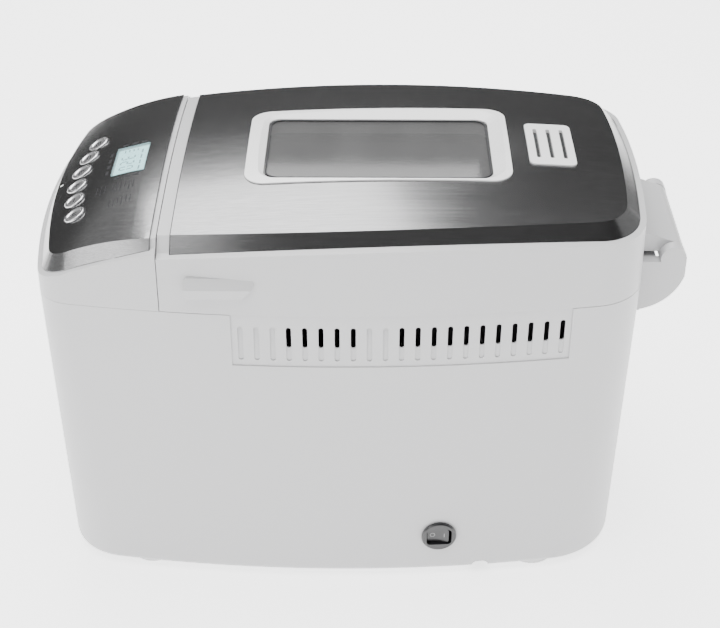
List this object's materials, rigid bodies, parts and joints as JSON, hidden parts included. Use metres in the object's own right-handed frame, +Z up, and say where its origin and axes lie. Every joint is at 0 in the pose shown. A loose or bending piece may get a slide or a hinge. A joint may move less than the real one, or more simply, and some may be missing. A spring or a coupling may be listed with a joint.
{
  "type": "bread machine",
  "caption": "Household bread machine: tapered tub base, sloping control panel, deep hinged lid with window and steam vent, removable pan with belt-driven paddles.",
  "frame": {"origin": "middle of the bounding box at the bottom of the feet", "axes": "+X the machine's right side, -Y its front with the control panel, +Y its back with the hinge, +Z up"},
  "size_m": [0.2294, 0.4078, 0.2722],
  "materials": {
    "white_plastic": "satin moulded",
    "steel_skin": "brushed along the length",
    "frame_white": "gloss",
    "black_plastic": "satin",
    "dark_plastic": "moulded",
    "foot_moulding": "matt",
    "rubber_black": "matt",
    "silicone_grey": "matt",
    "window_glass": "clear",
    "lcd_clear": "clear",
    "lcd_panel": "lit",
    "chamber_sheet": "grey enamel",
    "galvanised": "zinc plated",
    "bright_steel": "turned",
    "element_steel": "heat-tinted",
    "ceramic_white": "glazed",
    "nonstick": "non-stick coating",
    "motor_can": "zinc plated",
    "circuit_board": "solder mask",
    "brass_bush": "turned",
    "chrome_button": "satin",
    "led_green": "diffused"
  },
  "bodies": {
    "base": {"base_housing": "white_plastic", "bottom_plate": "white_plastic", "chamber_liner": "chamber_sheet", "chassis_plate": "galvanised", "control_board": "circuit_board", "control_fascia": "steel_skin", "control_housing": "white_plastic", "cord_gland": "dark_plastic", "deck_frame": "white_plastic", "element_clips": "galvanised", "element_insulators": "ceramic_white", "feet": "foot_moulding", "heat_shield": "galvanised", "heating_element": "element_steel", "hinge_bracket": "white_plastic", "hinge_pins": "bright_steel", "housing_screws": "bright_steel", "lcd_lens": "lcd_clear", "lcd_module": "lcd_panel", "link_belt": "rubber_black", "motor": "motor_can", "motor_belt": "rubber_black", "power_board": "circuit_board", "spindle_bearings": "dark_plastic", "status_led": "led_green", "switch_bezel": "black_plastic", "temperature_sensor": "bright_steel", "thermal_fuse": "ceramic_white", "transformer": "dark_plastic"},
    "lid": {"lid_shell": "white_plastic", "lid_top_plate": "steel_skin", "window_bezel": "frame_white", "outer_glass": "window_glass", "inner_glass": "window_glass", "vent_grille": "frame_white", "lid_liner": "chamber_sheet", "lid_gasket": "silicone_grey", "lid_screws": "bright_steel", "hinge_arm": "white_plastic"},
    "front_drive": {"front_spindle": "bright_steel", "front_pulley": "dark_plastic"},
    "rear_drive": {"rear_spindle": "bright_steel", "rear_pulley": "dark_plastic"},
    "motor_rotor": {"motor_pulley": "bright_steel", "motor_fan": "dark_plastic"},
    "pan": {"bread_pan": "nonstick", "pan_bushes": "brass_bush"},
    "bail": {"pan_handle": "bright_steel"},
    "front_kneader": {"front_pan_shaft": "bright_steel", "front_paddle": "nonstick"},
    "rear_kneader": {"rear_pan_shaft": "bright_steel", "rear_paddle": "nonstick"},
    "rocker": {"switch_rocker": "black_plastic"},
    "start_stop_key": {"start_stop_button": "chrome_button"},
    "time_down_key": {"time_down_button": "chrome_button"},
    "time_up_key": {"time_up_button": "chrome_button"},
    "loaf_size_key": {"loaf_size_button": "chrome_button"},
    "crust_key": {"crust_button": "chrome_button"},
    "menu_key": {"menu_button": "chrome_button"}
  },
  "joints": [
    {"name": "lid_hinge", "type": "hinge", "parent": "base", "child": "lid", "pos_m": [0, 0.1956, 0.2132], "axis": [-1, 0, 0], "range_deg": [0, 80]},
    {"name": "front_drive_spin", "type": "hinge", "parent": "base", "child": "front_drive", "pos_m": [0, -0.027, 0.03], "axis": [0, 0, 1], "continuous": true},
    {"name": "rear_drive_spin", "type": "hinge", "parent": "base", "child": "rear_drive", "pos_m": [0, 0.077, 0.03], "axis": [0, 0, 1], "continuous": true},
    {"name": "motor_spin", "type": "hinge", "parent": "base", "child": "motor_rotor", "pos_m": [0, -0.158, 0.06], "axis": [0, 0, 1], "continuous": true},
    {"name": "pan_lift", "type": "slide", "parent": "base", "child": "pan", "axis": [0, 0, 1], "range_m": [0, 0.016]},
    {"name": "bail_swing", "type": "hinge", "parent": "pan", "child": "bail", "pos_m": [0, 0.025, 0.158], "axis": [0, -1, 0], "range_deg": [0, 90]},
    {"name": "front_kneader_spin", "type": "hinge", "parent": "pan", "child": "front_kneader", "pos_m": [0, -0.027, 0.07], "axis": [0, 0, 1], "continuous": true},
    {"name": "rear_kneader_spin", "type": "hinge", "parent": "pan", "child": "rear_kneader", "pos_m": [0, 0.077, 0.07], "axis": [0, 0, 1], "continuous": true},
    {"name": "rocker_tilt", "type": "hinge", "parent": "base", "child": "rocker", "pos_m": [0.10189, 0.05081, 0.0363], "axis": [0.026, 0.0019, 0.9997], "range_deg": [0, 14]},
    {"name": "start_stop_press", "type": "slide", "parent": "base", "child": "start_stop_key", "axis": [0, 0.4695, -0.8829], "range_m": [0, 0.001], "stiffness_N_per_m": 400},
    {"name": "time_down_press", "type": "slide", "parent": "base", "child": "time_down_key", "axis": [0, 0.4695, -0.8829], "range_m": [0, 0.001], "stiffness_N_per_m": 400},
    {"name": "time_up_press", "type": "slide", "parent": "base", "child": "time_up_key", "axis": [0, 0.4695, -0.8829], "range_m": [0, 0.001], "stiffness_N_per_m": 400},
    {"name": "loaf_size_press", "type": "slide", "parent": "base", "child": "loaf_size_key", "axis": [0, 0.4695, -0.8829], "range_m": [0, 0.001], "stiffness_N_per_m": 400},
    {"name": "crust_press", "type": "slide", "parent": "base", "child": "crust_key", "axis": [0, 0.4695, -0.8829], "range_m": [0, 0.001], "stiffness_N_per_m": 400},
    {"name": "menu_press", "type": "slide", "parent": "base", "child": "menu_key", "axis": [0, 0.4695, -0.8829], "range_m": [0, 0.001], "stiffness_N_per_m": 400}
  ],
  "couplings": [
    {"joint": "rear_drive_spin", "follows": "front_drive_spin", "ratio": 1},
    {"joint": "motor_spin", "follows": "front_drive_spin", "ratio": 4},
    {"joint": "front_kneader_spin", "follows": "front_drive_spin", "ratio": 1},
    {"joint": "rear_kneader_spin", "follows": "front_drive_spin", "ratio": 1}
  ]
}
